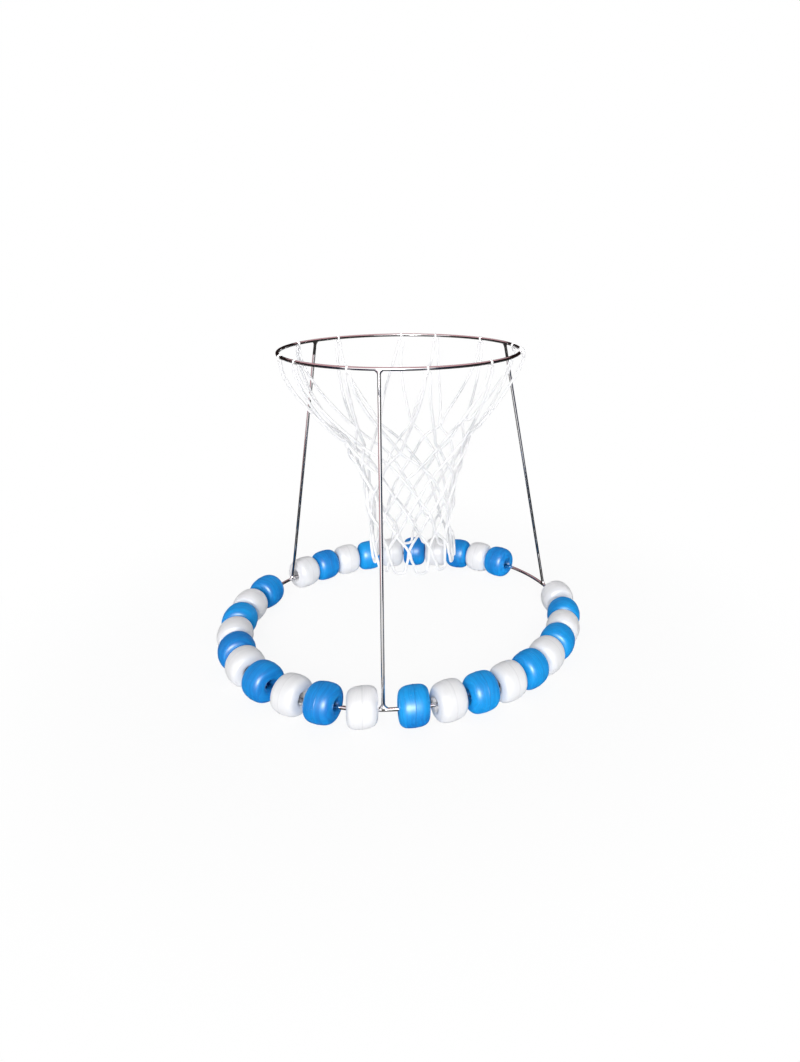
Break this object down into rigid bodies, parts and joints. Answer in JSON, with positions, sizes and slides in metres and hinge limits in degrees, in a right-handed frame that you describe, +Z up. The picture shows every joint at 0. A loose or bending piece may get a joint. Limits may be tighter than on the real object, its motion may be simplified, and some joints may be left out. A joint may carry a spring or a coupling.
{
  "type": "floating basketball hoop",
  "caption": "Free-standing basketball hoop for a pool: round rim with a knotted net on three legs over a ring strung with barrel floats.",
  "frame": {"origin": "on the ground, under the centre of the float ring and of the rim", "axes": "+Z up through the rim, -Y towards the front leg, +X to the right seen from the front leg"},
  "size_m": [0.7072, 0.7078, 0.5762],
  "materials": {
    "polished_steel": "polished",
    "blue_plastic": "gloss",
    "white_plastic": "gloss",
    "white_cord": "braided cord",
    "white_band": "satin"
  },
  "bodies": {
    "frame": {"rim": "polished_steel", "float_ring": "polished_steel", "leg_front": "polished_steel", "leg_right": "polished_steel", "leg_left": "polished_steel", "net_tie_01": "white_band", "net_tie_02": "white_band", "net_tie_03": "white_band", "net_tie_04": "white_band", "net_tie_05": "white_band", "net_tie_06": "white_band", "net_tie_07": "white_band", "net_tie_08": "white_band", "net_tie_09": "white_band", "net_tie_10": "white_band", "net_tie_11": "white_band", "net_tie_12": "white_band", "net": "white_cord"},
    "float_01_blue": {"float_01_blue": "blue_plastic"},
    "float_02_white": {"float_02_white": "white_plastic"},
    "float_03_blue": {"float_03_blue": "blue_plastic"},
    "float_04_white": {"float_04_white": "white_plastic"},
    "float_05_blue": {"float_05_blue": "blue_plastic"},
    "float_06_white": {"float_06_white": "white_plastic"},
    "float_07_blue": {"float_07_blue": "blue_plastic"},
    "float_08_white": {"float_08_white": "white_plastic"},
    "float_09_blue": {"float_09_blue": "blue_plastic"},
    "float_10_white": {"float_10_white": "white_plastic"},
    "float_11_blue": {"float_11_blue": "blue_plastic"},
    "float_12_white": {"float_12_white": "white_plastic"},
    "float_13_blue": {"float_13_blue": "blue_plastic"},
    "float_14_white": {"float_14_white": "white_plastic"},
    "float_15_blue": {"float_15_blue": "blue_plastic"},
    "float_16_white": {"float_16_white": "white_plastic"},
    "float_17_blue": {"float_17_blue": "blue_plastic"},
    "float_18_white": {"float_18_white": "white_plastic"},
    "float_19_blue": {"float_19_blue": "blue_plastic"},
    "float_20_white": {"float_20_white": "white_plastic"},
    "float_21_blue": {"float_21_blue": "blue_plastic"},
    "float_22_white": {"float_22_white": "white_plastic"},
    "float_23_blue": {"float_23_blue": "blue_plastic"},
    "float_24_white": {"float_24_white": "white_plastic"},
    "float_25_blue": {"float_25_blue": "blue_plastic"},
    "float_26_white": {"float_26_white": "white_plastic"},
    "float_27_blue": {"float_27_blue": "blue_plastic"},
    "float_28_white": {"float_28_white": "white_plastic"},
    "float_29_blue": {"float_29_blue": "blue_plastic"},
    "float_30_white": {"float_30_white": "white_plastic"}
  },
  "joints": [
    {"name": "float_01_blue_spin", "type": "hinge", "parent": "frame", "child": "float_01_blue", "pos_m": [0.05754, -0.3158, 0.033], "axis": [0.9726, 0.2326, 0], "continuous": true},
    {"name": "float_02_white_spin", "type": "hinge", "parent": "frame", "child": "float_02_white", "pos_m": [0.11302, -0.30044, 0.033], "axis": [0.8521, 0.5233, 0], "continuous": true},
    {"name": "float_03_blue_spin", "type": "hinge", "parent": "frame", "child": "float_03_blue", "pos_m": [0.16474, -0.2755, 0.033], "axis": [0.8583, 0.5132, 0], "continuous": true},
    {"name": "float_04_white_spin", "type": "hinge", "parent": "frame", "child": "float_04_white", "pos_m": [0.20929, -0.24339, 0.033], "axis": [0.7582, 0.652, 0], "continuous": true},
    {"name": "float_05_blue_spin", "type": "hinge", "parent": "frame", "child": "float_05_blue", "pos_m": [0.24771, -0.20415, 0.033], "axis": [0.636, 0.7717, 0], "continuous": true},
    {"name": "float_06_white_spin", "type": "hinge", "parent": "frame", "child": "float_06_white", "pos_m": [0.27889, -0.15894, 0.033], "axis": [0.4951, 0.8688, 0], "continuous": true},
    {"name": "float_07_blue_spin", "type": "hinge", "parent": "frame", "child": "float_07_blue", "pos_m": [0.3019, -0.10908, 0.033], "axis": [0.3398, 0.9405, 0], "continuous": true},
    {"name": "float_08_white_spin", "type": "hinge", "parent": "frame", "child": "float_08_white", "pos_m": [0.31607, -0.05602, 0.033], "axis": [0.1745, 0.9847, 0], "continuous": true},
    {"name": "float_09_blue_spin", "type": "hinge", "parent": "frame", "child": "float_09_blue", "pos_m": [0.321, -0.00133, 0.033], "axis": [0.0041, 1, 0], "continuous": true},
    {"name": "float_10_white_spin", "type": "hinge", "parent": "frame", "child": "float_10_white", "pos_m": [0.31217, 0.07479, 0.033], "axis": [-0.233, 0.9725, 0], "continuous": true},
    {"name": "float_11_blue_spin", "type": "hinge", "parent": "frame", "child": "float_11_blue", "pos_m": [0.18544, 0.26202, 0.033], "axis": [-0.8163, 0.5777, 0], "continuous": true},
    {"name": "float_12_white_spin", "type": "hinge", "parent": "frame", "child": "float_12_white", "pos_m": [0.13881, 0.28943, 0.033], "axis": [-0.9017, 0.4324, 0], "continuous": true},
    {"name": "float_13_blue_spin", "type": "hinge", "parent": "frame", "child": "float_13_blue", "pos_m": [0.08824, 0.30863, 0.033], "axis": [-0.9615, 0.2749, 0], "continuous": true},
    {"name": "float_14_white_spin", "type": "hinge", "parent": "frame", "child": "float_14_white", "pos_m": [0.03517, 0.31907, 0.033], "axis": [-0.994, 0.1095, 0], "continuous": true},
    {"name": "float_15_blue_spin", "type": "hinge", "parent": "frame", "child": "float_15_blue", "pos_m": [-0.01891, 0.32044, 0.033], "axis": [-0.9983, -0.0589, 0], "continuous": true},
    {"name": "float_16_white_spin", "type": "hinge", "parent": "frame", "child": "float_16_white", "pos_m": [-0.07245, 0.31272, 0.033], "axis": [-0.9742, -0.2257, 0], "continuous": true},
    {"name": "float_17_blue_spin", "type": "hinge", "parent": "frame", "child": "float_17_blue", "pos_m": [-0.12393, 0.29611, 0.033], "axis": [-0.9225, -0.3861, 0], "continuous": true},
    {"name": "float_18_white_spin", "type": "hinge", "parent": "frame", "child": "float_18_white", "pos_m": [-0.17189, 0.2711, 0.033], "axis": [-0.8445, -0.5355, 0], "continuous": true},
    {"name": "float_19_blue_spin", "type": "hinge", "parent": "frame", "child": "float_19_blue", "pos_m": [-0.21497, 0.23839, 0.033], "axis": [-0.7426, -0.6697, 0], "continuous": true},
    {"name": "float_20_white_spin", "type": "hinge", "parent": "frame", "child": "float_20_white", "pos_m": [-0.25195, 0.19891, 0.033], "axis": [-0.6197, -0.7849, 0], "continuous": true},
    {"name": "float_21_blue_spin", "type": "hinge", "parent": "frame", "child": "float_21_blue", "pos_m": [-0.30581, 0.09757, 0.033], "axis": [-0.304, -0.9527, 0], "continuous": true},
    {"name": "float_22_white_spin", "type": "hinge", "parent": "frame", "child": "float_22_white", "pos_m": [-0.31958, 0.03019, 0.033], "axis": [-0.094, -0.9956, 0], "continuous": true},
    {"name": "float_23_blue_spin", "type": "hinge", "parent": "frame", "child": "float_23_blue", "pos_m": [-0.31952, -0.03082, 0.033], "axis": [0.096, -0.9954, 0], "continuous": true},
    {"name": "float_24_white_spin", "type": "hinge", "parent": "frame", "child": "float_24_white", "pos_m": [-0.30816, -0.08989, 0.033], "axis": [0.28, -0.96, 0], "continuous": true},
    {"name": "float_25_blue_spin", "type": "hinge", "parent": "frame", "child": "float_25_blue", "pos_m": [-0.28546, -0.14682, 0.033], "axis": [0.4574, -0.8893, 0], "continuous": true},
    {"name": "float_26_white_spin", "type": "hinge", "parent": "frame", "child": "float_26_white", "pos_m": [-0.25315, -0.19738, 0.033], "axis": [0.6149, -0.7886, 0], "continuous": true},
    {"name": "float_27_blue_spin", "type": "hinge", "parent": "frame", "child": "float_27_blue", "pos_m": [-0.2075, -0.24491, 0.033], "axis": [0.763, -0.6464, 0], "continuous": true},
    {"name": "float_28_white_spin", "type": "hinge", "parent": "frame", "child": "float_28_white", "pos_m": [-0.14775, -0.28497, 0.033], "axis": [0.8878, -0.4603, 0], "continuous": true},
    {"name": "float_29_blue_spin", "type": "hinge", "parent": "frame", "child": "float_29_blue", "pos_m": [-0.09075, -0.3079, 0.033], "axis": [0.9592, -0.2827, 0], "continuous": true},
    {"name": "float_30_white_spin", "type": "hinge", "parent": "frame", "child": "float_30_white", "pos_m": [-0.02512, -0.32001, 0.033], "axis": [0.9812, 0.1932, 0], "continuous": true}
  ]
}
